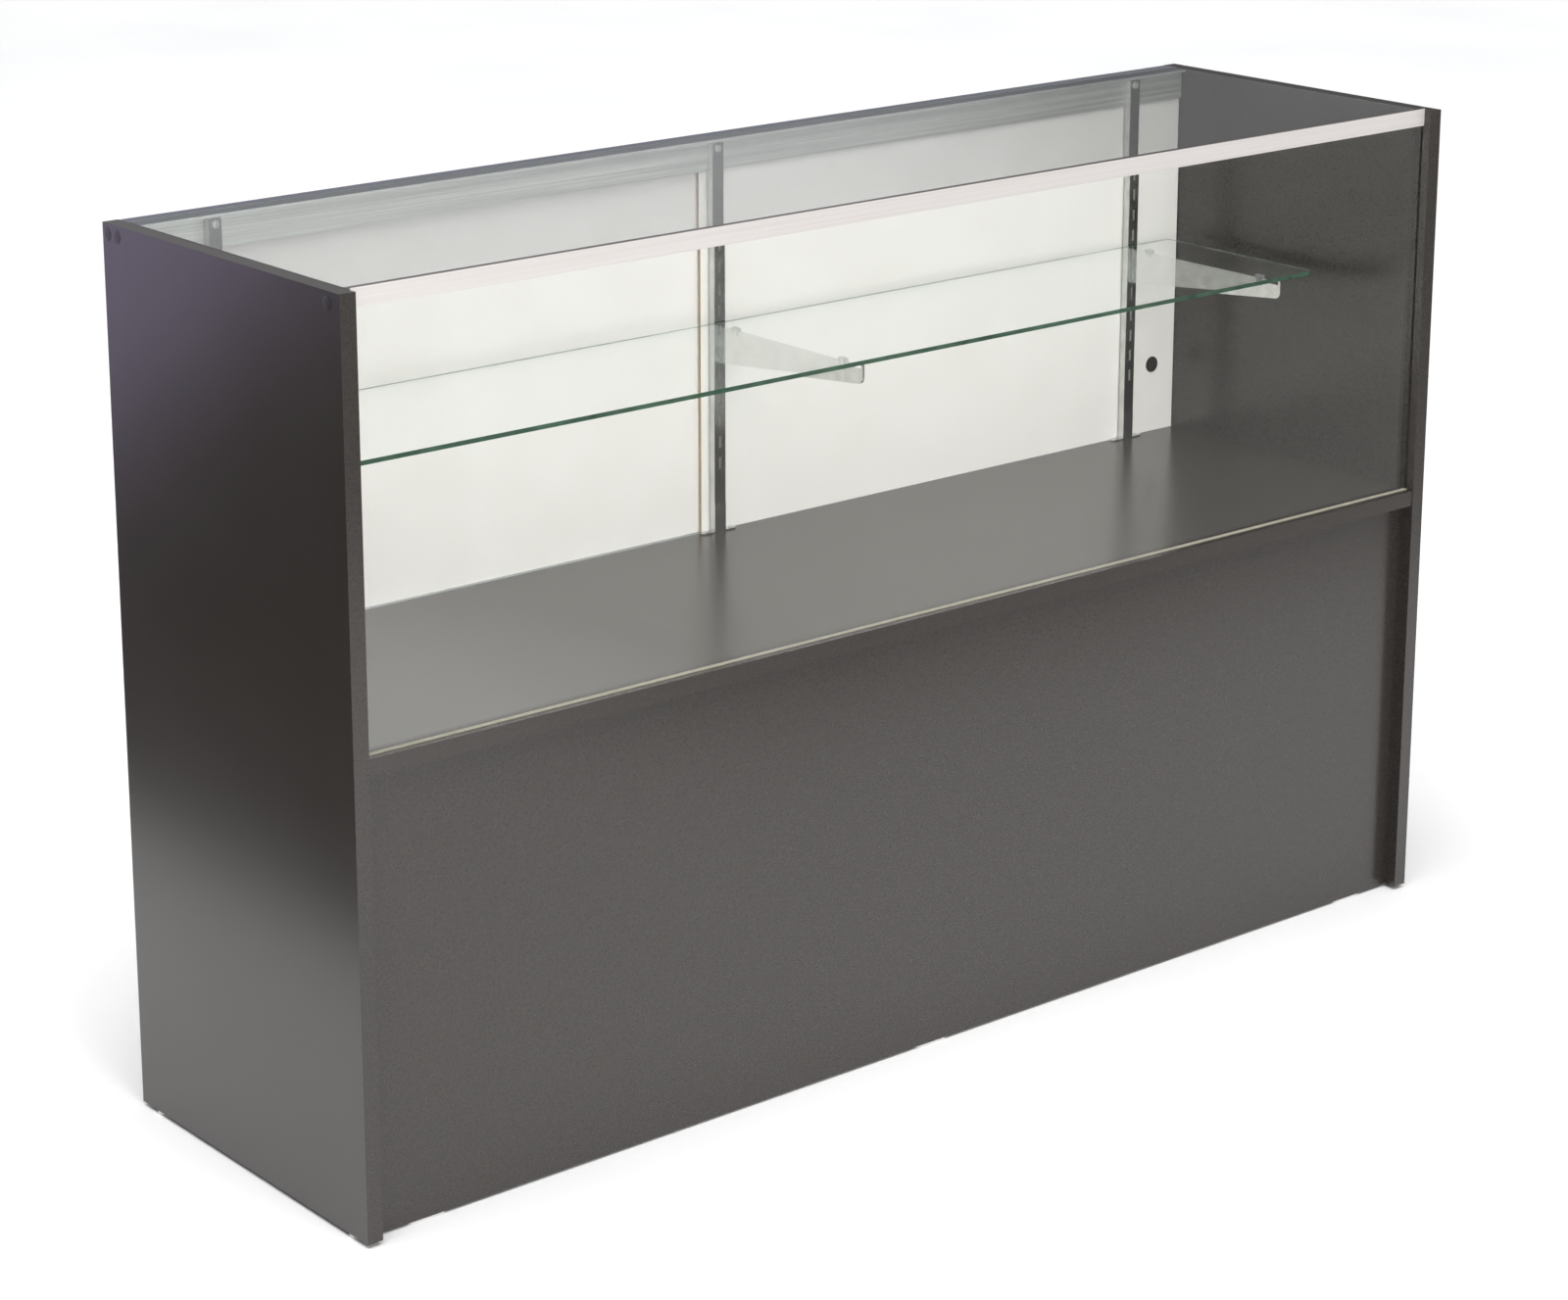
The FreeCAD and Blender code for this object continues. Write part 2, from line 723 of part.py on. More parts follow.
def make_standards():
    """Slotted steel uprights screwed to the rear rail, each on a foot that is screwed to the deck."""
    for name, x in standard_rows().items():
        part = body(
            f"{name}_standard_bar", "XY_Plane",
            [channel_corners("standard_width", "standard_depth", "standard_wall")], [],
            "standard_head - (standard_foot)", x=x, y="standard_face", z="standard_foot",
        )
        rounded(
            part, f"{name}_standard_bend", "standard_wall / 2",
            lambda e: upright(e) and e.BoundBox.YMax < 0.1,
        )
        slot = profile(part, f"{name}_slot", "XZ_Plane")
        low = "slot_first - foot_height - slot_length / 2"
        outline(slot, frame_of("-slot_width / 2", low, "slot_width / 2", f"{low} + slot_length"))
        pocket = part.newObject("PartDesign::Pocket", f"{name}_slot_pocket")
        pocket.Profile = slot
        pocket.setExpression("Length", spell("standard_wall"))
        doc.recompute()
        row = part.newObject("PartDesign::LinearPattern", f"{name}_slot_row")
        row.Originals = [pocket]
        row.Direction = (slot, ["V_Axis"])
        row.setExpression("Length", spell("slot_pitch * (slot_count - 1)"))
        row.setExpression("Occurrences", spell("slot_count"))
        part.Tip = row
        hole = rod(
            f"{name}_standard_hole", "y", x, "standard_face", "standard_screw_z",
            "screw_radius + screw_fit", "standard_wall",
        )
        keep(f"standard_{name}", cut(f"standard_{name}", part, [hole]))


def make_standard_feet():
    """A plate with two screw tabs, a short upright that carries on the standard, and a tongue inside it."""
    for name, x in standard_rows().items():
        plate = body(
            f"{name}_foot_plate", "XY_Plane", [frame_of("0", "0", "foot_plate_length", "standard_depth")], [],
            "foot_plate_thick", x=f"{x} - foot_plate_length / 2", y="standard_face", z="deck_top",
        )
        rounded(plate, f"{name}_foot_tabs", "standard_depth / 2 - foot_corner_flat", upright)
        riser = body(
            f"{name}_foot_riser", "XY_Plane",
            [channel_corners("standard_width", "standard_depth", "standard_wall")], [],
            "foot_height - foot_plate_thick", x=x, y="standard_face", z="deck_top + foot_plate_thick",
        )
        inset = "standard_wall + tongue_fit"
        tongue = body(
            f"{name}_foot_tongue", "XY_Plane",
            [channel_corners(f"standard_width - 2 * ({inset})", f"standard_depth - ({inset})", "standard_wall")],
            [], "foot_height + foot_tongue - foot_plate_thick", x=x, y=f"standard_face + {inset}",
            z="deck_top + foot_plate_thick",
        )
        web = block(
            f"{name}_foot_web", f"{x} - standard_width / 2 + standard_wall",
            "standard_face + standard_wall / 2", "deck_top + foot_plate_thick",
            "standard_width - 2 * standard_wall", "standard_wall",
            "foot_height - foot_plate_thick",
        )
        holes = [
            rod(
                f"{name}_foot_hole_{s}", "z", f"{x} + {s} * foot_screw_offset", "foot_screw_y", "deck_top",
                "foot_screw_radius + screw_fit", "foot_plate_thick",
            )
            for s in (-1, 1)
        ]
        whole = joined(f"{name}_foot_whole", [plate, riser, tongue, web])
        keep(f"standard_foot_{name}", cut(f"standard_foot_{name}", whole, holes))


def hook(seat):
    """Corners of one hook that passes a slot and drops behind the standard's face."""
    reach = "(standard_wall + hook_play)"
    back = "(standard_wall + hook_play + hook_thick)"
    return [
        ("0", seat), (reach, seat), (reach, f"{seat} - hook_drop"), (back, f"{seat} - hook_drop"),
        (back, f"{seat} + hook_neck"), ("0", f"{seat} + hook_neck"),
    ]


def rest_rows():
    """Y of the middle of the two rests on every bracket."""
    return {"front": "(shelf_front + rest_front_inset)", "rear": "(shelf_rear - rest_rear_inset)"}


def notch(middle):
    """Corners of the notch for a rest in a blade's top edge, from its rear end to its front end."""
    rear = f"({middle} - (standard_face) + rest_notch / 2)"
    front = f"({middle} - (standard_face) - rest_notch / 2)"
    floor = "(bracket_rise - rest_drop)"
    return [(rear, "bracket_rise"), (rear, floor), (front, floor), (front, "bracket_rise")]


def make_brackets():
    """Knife brackets: a tapered blade with two hooks at the heel, two notches on top and a lip at the toe."""
    lip_in = "(-(shelf_rear_gap + shelf_depth + lip_play))"
    lip_out = f"({lip_in} - lip_thick)"
    lip_top = "(bracket_rise + rest_rise + lip_rise)"
    toe = "(bracket_rise - bracket_toe)"
    corners = [
        ("0", "-bracket_heel"), *hook("(-slot_pitch)"), *hook("0"), ("0", "bracket_rise"),
        *notch(rest_rows()["rear"]), *notch(rest_rows()["front"]),
        (lip_in, "bracket_rise"), (lip_in, lip_top), (lip_out, lip_top), (lip_out, toe),
    ]
    for name, x in standard_rows().items():
        part = body(
            f"{name}_blade", "YZ_Plane", [corners], [], "bracket_thick",
            x=f"{x} - bracket_thick / 2", y="standard_face", z="hook_seat",
        )
        toe_at = FreeCAD.Vector(0, read(lip_out), read(toe))
        lip_at = FreeCAD.Vector(0, read(lip_out), read(lip_top))
        rounded(part, f"{name}_toe_round", "bracket_toe_radius", lambda e: along_x_at(e, toe_at))
        rounded(part, f"{name}_lip_round", "lip_thick / 3", lambda e: along_x_at(e, lip_at))
        keep(f"shelf_bracket_{name}", part)


def along_x_at(edge, place):
    """True for an edge along X that passes through the place's Y and Z."""
    low, high = edge.Vertexes[0].Point, edge.Vertexes[-1].Point
    level = abs(low.y - high.y) < 1e-6 and abs(low.z - high.z) < 1e-6
    return level and abs(low.y - place.y) < 1e-4 and abs(low.z - place.z) < 1e-4


def make_shelf():
    """The glass shelf, and the rubber rests that sit in the blades' notches under it."""
    part = body(
        "glass_shelf", "XY_Plane", [frame_of("0", "0", "shelf_length", "shelf_depth")], [],
        "shelf_thick", x="-shelf_length / 2", y="shelf_front", z="shelf_under",
    )
    rounded(part, "shelf_corners", "shelf_corner", upright)
    keep("glass_shelf", part)
    for name, x in standard_rows().items():
        rests = []
        for end, y in rest_rows().items():
            stock = block(
                f"{name}_{end}_rest_block", f"{x} - rest_width / 2", f"{y} - rest_length / 2",
                "blade_top - rest_drop", "rest_width", "rest_length", "rest_drop + rest_rise",
            )
            ways = [
                block(
                    f"{name}_{end}_rest_way_{i}", f"{x} - bracket_thick / 2", f"{y} + ({low})",
                    "blade_top - rest_drop", "bracket_thick", "(rest_length - rest_notch) / 2", "rest_drop",
                )
                for i, low in enumerate(("-rest_length / 2", "rest_notch / 2"))
            ]
            rests.append(cut(f"{name}_{end}_rest", stock, ways))
        keep(f"shelf_rests_{name}", group(f"shelf_rests_{name}", rests))


def pan_screw(name, axis, sign, x, y, z, radius, length, head_radius, head_thick):
    """A pan-head screw whose head's underside is at the place, with its shank in the sign's direction."""
    spot = {"x": x, "y": y, "z": z}
    shank_at = dict(spot)
    head_at = dict(spot)
    if sign < 0:
        shank_at[axis] = f"{spot[axis]} - ({length})"
    else:
        head_at[axis] = f"{spot[axis]} - ({head_thick})"
    shank = rod(f"{name}_shank", axis, shank_at["x"], shank_at["y"], shank_at["z"], radius, length)
    head = rod(f"{name}_head", axis, head_at["x"], head_at["y"], head_at["z"], head_radius, head_thick)
    return joined(name, [shank, head])


def make_screws():
    """Screws of the rails, the standards and the standards' feet, and the caps over the rail screws."""
    for side, sign in sides.items():
        outer = f"{sign} * (case_width / 2 - cap_thick - screw_head_thick)"
        length = "board_thick - cap_thick - screw_head_thick + rail_screw_reach"
        screws = []
        caps = []
        for i, (y, z) in enumerate(rail_screws):
            screws.append(pan_screw(
                f"{side}_rail_screw_{i}", "x", -sign, outer, y, z, "screw_radius", length,
                "screw_head_radius", "screw_head_thick",
            ))
            caps.append(rod(
                f"{side}_cap_{i}", "x", side_x(sign, "case_width / 2 - cap_thick", "cap_thick"), y, z,
                "cap_radius", "cap_thick",
            ))
        keep(f"rail_screws_{side}", group(f"rail_screws_{side}", screws))
        keep(f"screw_caps_{side}", group(f"screw_caps_{side}", caps))
    tops = [
        pan_screw(
            f"{name}_standard_screw", "y", 1, x, "standard_face", "standard_screw_z", "screw_radius",
            "standard_depth + standard_screw_reach - screw_fit", "screw_head_radius", "screw_head_thick",
        )
        for name, x in standard_rows().items()
    ]
    keep("standard_screws", group("standard_screws", tops))
    feet = [
        pan_screw(
            f"foot_screw_{i}", "z", -1, x, "foot_screw_y", "deck_top + foot_plate_thick", "foot_screw_radius",
            "foot_screw_length", "foot_head_radius", "foot_head_thick",
        )
        for i, x in enumerate(foot_screw_rows())
    ]
    keep("foot_screws", group("foot_screws", feet))


def make_knockdown_fittings():
    """Cam locks in the boards, their bolts in the side panels, and wooden dowels beside them."""
    cams = []
    for side, sign in sides.items():
        x = f"{sign} * (inner_half - cam_inset)"
        for i, height in enumerate(board_rows()):
            for j, y in enumerate(("-cam_row", "cam_row")):
                cams.append(rod(
                    f"cam_{side}_{i}_{j}", "z", x, y, f"{height} - board_thick / 2",
                    "cam_radius", "cam_depth - cam_fit",
                ))
        for j, (y, z) in enumerate(bolt_places()[-2:]):
            cams.append(rod(
                f"cam_{side}_front_{j}", "y", x, "panel_back - cam_depth + cam_fit", z,
                "cam_radius", "cam_depth - cam_fit",
            ))
    keep("cam_locks", group("cam_locks", cams))
    bolts = []
    dowels = []
    span = "cam_bolt_grip + cam_inset - cam_radius - 2 * cam_fit"
    inner_end = "inner_half - cam_inset + cam_radius + 2 * cam_fit"
    for side, sign in sides.items():
        for i, (y, z) in enumerate(bolt_places()):
            bolts.append(rod(
                f"cam_bolt_{side}_{i}", "x", side_x(sign, inner_end, span), y, z, "cam_bolt_radius", span,
            ))
        for i, (y, z) in enumerate(dowel_places()):
            dowels.append(rod(
                f"dowel_{side}_{i}", "x", side_x(sign, "inner_half - dowel_length * 2 / 3", "dowel_length"),
                y, z, "dowel_radius", "dowel_length",
            ))
    keep("cam_bolts", group("cam_bolts", bolts))
    keep("wood_dowels", group("wood_dowels", dowels))


make_side_panels()
make_deck()
make_boards()
make_glides()
make_glass()
make_glazing_channel()
make_front_rail()
make_rear_rail()
make_lower_track()
make_doors()
make_standards()
make_standard_feet()
make_brackets()
make_shelf()
make_screws()
make_knockdown_fittings()
doc.recompute()

faults = [o.Name for o in doc.Objects if "Invalid" in o.State or "Error" in o.State]
faults += [n for n, o in nodes.items() if o.Shape.isNull() or not o.Shape.isValid() or not o.Shape.Solids]
if faults:
    raise RuntimeError("not built: " + ", ".join(faults))

os.makedirs("parts", exist_ok=True)
for name, piece in nodes.items():
    piece.Shape.exportStep(f"parts/{name}.step")
    print(f"{name}: {len(piece.Shape.Solids)} solid(s), {piece.Shape.Volume / 1000:.1f} cm3")
print(len(nodes), "sub-parts written")
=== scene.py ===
import json
import math

import bpy
import numpy as np
from mathutils import Matrix, Vector


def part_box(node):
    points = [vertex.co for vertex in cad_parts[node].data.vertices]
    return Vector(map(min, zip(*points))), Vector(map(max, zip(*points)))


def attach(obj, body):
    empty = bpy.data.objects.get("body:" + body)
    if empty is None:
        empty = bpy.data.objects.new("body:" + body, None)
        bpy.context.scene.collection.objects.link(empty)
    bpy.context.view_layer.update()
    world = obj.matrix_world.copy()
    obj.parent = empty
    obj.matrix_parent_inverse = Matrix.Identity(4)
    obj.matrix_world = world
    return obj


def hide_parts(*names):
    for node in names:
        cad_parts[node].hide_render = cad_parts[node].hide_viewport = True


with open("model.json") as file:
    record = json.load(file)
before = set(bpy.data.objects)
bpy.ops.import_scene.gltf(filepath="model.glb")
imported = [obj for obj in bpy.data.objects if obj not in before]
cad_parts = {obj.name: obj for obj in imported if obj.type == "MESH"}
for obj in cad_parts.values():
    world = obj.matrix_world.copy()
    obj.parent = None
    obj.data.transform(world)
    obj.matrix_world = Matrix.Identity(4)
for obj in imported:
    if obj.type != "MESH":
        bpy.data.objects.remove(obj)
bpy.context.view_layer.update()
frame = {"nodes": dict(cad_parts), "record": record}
parts = frame["nodes"]
slotOf = {entry["node"]: entry["material_slot"] for entry in frame["record"]["subparts"]}
print("frame loaded:", len(parts), "sub-parts")


# a material and its shader, with the shader's own values set; an underscore stands for a space
def freshMaterial(name, **values):
    material = bpy.data.materials.new(name)
    material.use_nodes = True
    shader = material.node_tree.nodes["Principled BSDF"]
    for socket, value in values.items():
        shader.inputs[socket.replace("_", " ")].default_value = value
    return material, material.node_tree, shader


def nodeOf(tree, kind, **settings):
    node = tree.nodes.new(kind)
    for name, value in settings.items():
        setattr(node, name, value)
    return node


# object coordinates, stretched along each axis
def stretched(tree, scale=(1, 1, 1)):
    coords = nodeOf(tree, "ShaderNodeTexCoord")
    mapping = nodeOf(tree, "ShaderNodeMapping")
    mapping.inputs["Scale"].default_value = scale
    tree.links.new(coords.outputs["Object"], mapping.inputs["Vector"])
    return mapping.outputs["Vector"]


def noiseOn(tree, vector, scale, detail=2.0, rough=0.5):
    noise = nodeOf(tree, "ShaderNodeTexNoise")
    noise.inputs["Scale"].default_value = scale
    noise.inputs["Detail"].default_value = detail
    noise.inputs["Roughness"].default_value = rough
    tree.links.new(vector, noise.inputs["Vector"])
    return noise.outputs["Fac"]


def rampOn(tree, source, low, high, edges=(0.3, 0.7)):
    ramp = nodeOf(tree, "ShaderNodeValToRGB")
    for element, place, colour in zip(ramp.color_ramp.elements, edges, (low, high)):
        element.position = place
        element.color = (*colour, 1)
    tree.links.new(source, ramp.inputs["Fac"])
    return ramp.outputs["Color"]


def spread(tree, source, low, high, start=0.0, end=1.0, kind="LINEAR"):
    reach = nodeOf(tree, "ShaderNodeMapRange", interpolation_type=kind)
    reach.inputs["From Min"].default_value = start
    reach.inputs["From Max"].default_value = end
    reach.inputs["To Min"].default_value = low
    reach.inputs["To Max"].default_value = high
    tree.links.new(source, reach.inputs["Value"])
    return reach.outputs["Result"]


def mixColours(tree, amount, one, other):
    mix = nodeOf(tree, "ShaderNodeMix", data_type="RGBA")
    tree.links.new(amount, mix.inputs["Factor"])
    for socket, source in ((mix.inputs["A"], one), (mix.inputs["B"], other)):
        if isinstance(source, tuple):
            socket.default_value = (*source, 1)
        else:
            tree.links.new(source, socket)
    return mix.outputs["Result"]


def bumpOn(tree, shader, height, depth, strength=1.0):
    bump = nodeOf(tree, "ShaderNodeBump")
    bump.inputs["Distance"].default_value = depth
    bump.inputs["Strength"].default_value = strength
    tree.links.new(height, bump.inputs["Height"])
    tree.links.new(bump.outputs["Normal"], shader.inputs["Normal"])


# 1 on faces that look along an axis either way, 0 on the edges between them
def facingMask(tree, axis):
    turned = nodeOf(tree, "ShaderNodeSeparateXYZ")
    tree.links.new(nodeOf(tree, "ShaderNodeTexCoord").outputs["Normal"], turned.inputs["Vector"])
    size = nodeOf(tree, "ShaderNodeMath", operation="ABSOLUTE")
    tree.links.new(turned.outputs[axis], size.inputs[0])
    return spread(tree, size.outputs["Value"], 0.0, 1.0, 0.6, 0.9)


laminateLook = {
    "dark": (0.024, 0.0200, 0.0175),
    "light": (0.037, 0.0312, 0.0275),
    "speckSize": 600,
    "cloudSize": 7,
    "roughness": (0.21, 0.27),
    "pebbleSize": 260,
    "pebbleDepth": 0.00002,
    "pebbleStrength": 0.12,
    "speckEdges": (0.36, 0.68),
}


# black melamine: fine speckle over a faint cloud, and a pebbled skin
def blackLaminate():
    look = laminateLook
    material, tree, shader = freshMaterial("blackLaminate", Specular_IOR_Level=0.7)
    place = stretched(tree)
    speck = noiseOn(tree, place, look["speckSize"], 2, 0.6)
    cloud = noiseOn(tree, place, look["cloudSize"], 3)
    colour = rampOn(tree, speck, look["dark"], look["light"], look["speckEdges"])
    tree.links.new(colour, shader.inputs["Base Color"])
    tree.links.new(spread(tree, cloud, *look["roughness"]), shader.inputs["Roughness"])
    pebble = noiseOn(tree, place, look["pebbleSize"], 1)
    bumpOn(tree, shader, pebble, look["pebbleDepth"], look["pebbleStrength"])
    return material


glassLook = {
    "clear": (1.0, 1.0, 1.0),
    "edge": (0.07, 0.15, 0.095),
    "edgeDark": (0.03, 0.085, 0.05),
    "edgeOpen": 0.30,
    "groundSize": 40,
    "lampTint": (0.965, 0.965, 0.962),
    "absorb": (0.30, 0.90, 0.70),
    "density": 4.0,
}


# float glass: clear on its two faces, green on its ground edges; lamps shine through it
def floatGlass(name, axis):
    look = glassLook
    material, tree, shader = freshMaterial(name, IOR=1.52, Roughness=0.0)
    place = stretched(tree)
    onFace = facingMask(tree, axis)
    ground = rampOn(tree, noiseOn(tree, place, look["groundSize"], 2), look["edgeDark"], look["edge"])
    tree.links.new(mixColours(tree, onFace, ground, look["clear"]), shader.inputs["Base Color"])
    tree.links.new(spread(tree, onFace, look["edgeOpen"], 1.0), shader.inputs["Transmission Weight"])
    absorb = nodeOf(tree, "ShaderNodeVolumeAbsorption")
    absorb.inputs["Color"].default_value = (*look["absorb"], 1)
    absorb.inputs["Density"].default_value = look["density"]
    through = nodeOf(tree, "ShaderNodeBsdfTransparent")
    through.inputs["Color"].default_value = (*look["lampTint"], 1)
    lamps = nodeOf(tree, "ShaderNodeLightPath")
    mix = nodeOf(tree, "ShaderNodeMixShader")
    output = tree.nodes["Material Output"]
    tree.links.new(lamps.outputs["Is Shadow Ray"], mix.inputs["Fac"])
    tree.links.new(shader.outputs["BSDF"], mix.inputs[1])
    tree.links.new(through.outputs["BSDF"], mix.inputs[2])
    tree.links.new(mix.outputs["Shader"], output.inputs["Surface"])
    tree.links.new(absorb.outputs["Volume"], output.inputs["Volume"])
    return material


streakLook = {"alongX": 2.5, "detail": 3, "rough": 0.65, "strength": 0.4}


# brushed or drawn metal: streaks that run along X, and painted shade on the level faces when a shade is
# given
def grainedMetal(name, dark, light, roughness, grain, depth, bare=1.0, levelPaintedShade=None):
    material, tree, shader = freshMaterial(name, Metallic=bare)
    place = stretched(tree, (streakLook["alongX"], grain, grain))
    streak = noiseOn(tree, place, 1, streakLook["detail"], streakLook["rough"])
    colour = rampOn(tree, streak, dark, light)
    if levelPaintedShade:  # painted shade: the level faces take a darker colour for the dark they reflect
        colour = mixColours(tree, facingMask(tree, "Z"), colour, levelPaintedShade)
    tree.links.new(colour, shader.inputs["Base Color"])
    tree.links.new(spread(tree, streak, *roughness), shader.inputs["Roughness"])
    bumpOn(tree, shader, streak, depth, streakLook["strength"])
    return material


steelLook = {"hazeSize": 60, "rippleSize": 35, "rippleStrength": 0.3}


# plated or bare steel with a faint ripple and haze
def platedSteel(name, dark, light, roughness, ripple):
    material, tree, shader = freshMaterial(name, Metallic=1.0)
    place = stretched(tree)
    haze = noiseOn(tree, place, steelLook["hazeSize"], 3)
    tree.links.new(rampOn(tree, haze, dark, light), shader.inputs["Base Color"])
    tree.links.new(spread(tree, haze, *roughness), shader.inputs["Roughness"])
    wave = noiseOn(tree, place, steelLook["rippleSize"], 2)
    bumpOn(tree, shader, wave, ripple, steelLook["rippleStrength"])
    return material


doorLook = {
    "paint": (0.83, 0.802, 0.778),
    "paintWorn": (0.80, 0.770, 0.742),
    "fibre": (0.52, 0.35, 0.17),
    "fibreDark": (0.36, 0.22, 0.09),
    "cloudSize": 14,
    "fibreSize": 900,
    "roughness": (0.34, 0.46),
    "skinSize": 260,
    "skinDepth": 0.0001,
    "skinStrength": 0.25,
}


# hardboard: painted on its two faces, bare fibre on its sawn edges
def whiteHardboard():
    look = doorLook
    material, tree, shader = freshMaterial("whiteHardboard", Specular_IOR_Level=0.4)
    place = stretched(tree)
    cloud = noiseOn(tree, place, look["cloudSize"], 4)
    paint = rampOn(tree, cloud, look["paintWorn"], look["paint"])
    fibre = rampOn(tree, noiseOn(tree, place, look["fibreSize"], 2), look["fibreDark"], look["fibre"])
    colour = mixColours(tree, facingMask(tree, "Y"), fibre, paint)
    tree.links.new(colour, shader.inputs["Base Color"])
    tree.links.new(spread(tree, cloud, *look["roughness"]), shader.inputs["Roughness"])
    skin = noiseOn(tree, place, look["skinSize"], 2)
    bumpOn(tree, shader, skin, look["skinDepth"], look["skinStrength"])
    return material


plasticStrength = 0.4  # of the moulded grain


# moulded plastic or vinyl with a fine grain
def mouldedPlastic(name, dark, light, roughness, grain=400, depth=0.00006, **values):
    material, tree, shader = freshMaterial(name, **values)
    mottle = noiseOn(tree, stretched(tree), grain, 3)
    tree.links.new(rampOn(tree, mottle, dark, light), shader.inputs["Base Color"])
    tree.links.new(spread(tree, mottle, *roughness), shader.inputs["Roughness"])
    bumpOn(tree, shader, mottle, depth, plasticStrength)
    return material


beechLook = {
    "dark": (0.42, 0.26, 0.13),
    "light": (0.58, 0.40, 0.22),
    "grain": (20, 500, 500),
    "roughness": (0.5, 0.7),
    "poreDepth": 0.0001,
    "poreStrength": 0.5,
}


# turned beech: pores along X
def beechWood():
    look = beechLook
    material, tree, shader = freshMaterial("beechWood")
    grain = noiseOn(tree, stretched(tree, look["grain"]), 1, 3)
    tree.links.new(rampOn(tree, grain, look["dark"], look["light"]), shader.inputs["Base Color"])
    tree.links.new(spread(tree, grain, *look["roughness"]), shader.inputs["Roughness"])
    bumpOn(tree, shader, grain, look["poreDepth"], look["poreStrength"])
    return material


looks = {
    "black_laminate": blackLaminate(),
    "clear_glass": floatGlass("levelGlass", "Z"),
    # painted shade on the front rail's level faces: a dark brown colour for the dark it reflects at a
    # grazing angle
    "silver_extrusion": grainedMetal(
        "satinAnodised", (0.64, 0.605, 0.59), (0.71, 0.675, 0.66), (0.42, 0.52), 500, 0.00002,
        bare=0.35, levelPaintedShade=(0.16, 0.135, 0.135)),
    # painted shade on the rear rail's level faces: a dull blue-grey colour for the dark ceiling it
    # reflects
    "brushed_extrusion": grainedMetal(
        "brushedAluminium", (0.54, 0.545, 0.52), (0.86, 0.865, 0.83), (0.50, 0.68), 420, 0.00010,
        levelPaintedShade=(0.28, 0.29, 0.33)),
    "bright_steel": platedSteel(
        "chromePlate", (0.58, 0.59, 0.575), (0.70, 0.71, 0.69), (0.08, 0.16), 0.0002),
    "white_hardboard": whiteHardboard(),
    "cup_plastic": mouldedPlastic(
        "cupPlastic", (0.012, 0.010, 0.009), (0.022, 0.018, 0.016), (0.32, 0.45)),
    "cream_vinyl": mouldedPlastic(
        "creamVinyl", (0.38, 0.35, 0.29), (0.48, 0.45, 0.38), (0.28, 0.40), grain=120),
    "clear_rubber": mouldedPlastic(
        "clearRubber", (0.76, 0.80, 0.78), (0.88, 0.91, 0.89), (0.15, 0.3),
        Transmission_Weight=0.85, IOR=1.45),
    "cap_plastic": mouldedPlastic(
        "capPlastic", (0.009, 0.008, 0.009), (0.016, 0.015, 0.016), (0.35, 0.5)),
    "white_nylon": mouldedPlastic("whiteNylon", (0.74, 0.74, 0.71), (0.82, 0.82, 0.80), (0.3, 0.4)),
    "screw_steel": platedSteel(
        "screwSteel", (0.74, 0.74, 0.73), (0.86, 0.86, 0.85), (0.22, 0.36), 0.0001),
    "cam_alloy": platedSteel("camAlloy", (0.36, 0.36, 0.37), (0.48, 0.48, 0.48), (0.35, 0.5), 0.0002),
    "beech": beechWood(),
}
# the front glass stands on edge, and the standards' feet are zinc plated and a little duller
ownLook = {"front_glass": floatGlass("uprightGlass", "Y")}
zinc = platedSteel("zincPlate", (0.56, 0.57, 0.56), (0.72, 0.72, 0.70), (0.16, 0.26), 0.0002)
for place in ("left", "centre", "right"):
    ownLook["standard_foot_" + place] = zinc

for name, part in parts.items():
    for holder in part.material_slots:
        holder.material = ownLook.get(name, looks[slotOf[name]])
print("finishes on every sub-part")

# width of the eased arris on the sub-parts that stay as they are
arrisOf = {
    "black_laminate": 0.0007,
    "clear_glass": 0.0007,
    "white_hardboard": 0.0003,
    "silver_extrusion": 0.0003,
    "brushed_extrusion": 0.0003,
    "bright_steel": 0.0002,
}


arrisCut = {"weld": 0.00001, "segments": 2, "sharpAngle": 35}


# loose triangles are welded first, and only edges sharper than the angle are eased
def easeArris(part, width):
    weld = part.modifiers.new("weld", "WELD")
    weld.merge_threshold = arrisCut["weld"]
    bevel = part.modifiers.new("arris", "BEVEL")
    bevel.width = width
    bevel.segments = arrisCut["segments"]
    bevel.limit_method = "ANGLE"
    bevel.angle_limit = math.radians(arrisCut["sharpAngle"])


for name, part in parts.items():
    if slotOf[name] in arrisOf:
        easeArris(part, arrisOf[slotOf[name]])
print("arrises eased")

# where local X, Y and Z go when a shape is laid in a direction
directions = {
    "+x": ((0, 1, 0), (0, 0, 1), (1, 0, 0)),
    "-x": ((0, -1, 0), (0, 0, 1), (-1, 0, 0)),
    "+y": ((-1, 0, 0), (0, 0, 1), (0, 1, 0)),
    "-y": ((1, 0, 0), (0, 0, 1), (0, -1, 0)),
    "+z": ((1, 0, 0), (0, 1, 0), (0, 0, 1)),
    "-z": ((1, 0, 0), (0, -1, 0), (0, 0, -1)),
}


# local points carried so that their Z runs in the direction and their origin lands on the place
def carried(points, place, direction):
    return points @ np.array(directions[direction], float) + np.array(place)


# rows of rings, from the first pole outwards and down to the last pole, as one closed surface
def closedRows(rows):
    count, around = rows.shape[0], rows.shape[1]
    row, col = np.meshgrid(np.arange(count - 1), np.arange(around), indexing="ij")
    here = row * around + col
    after = row * around + (col + 1) % around
    quads = np.stack([here, here + around, after + around, after], axis=-1).reshape(-1, 4).tolist()
    first = list(range(around))
    last = [(count - 1) * around + i for i in reversed(range(around))]
    return rows.reshape(-1, 3), quads + [first] + [last]


creaseAngle = 40  # edges sharper than this stay crisp


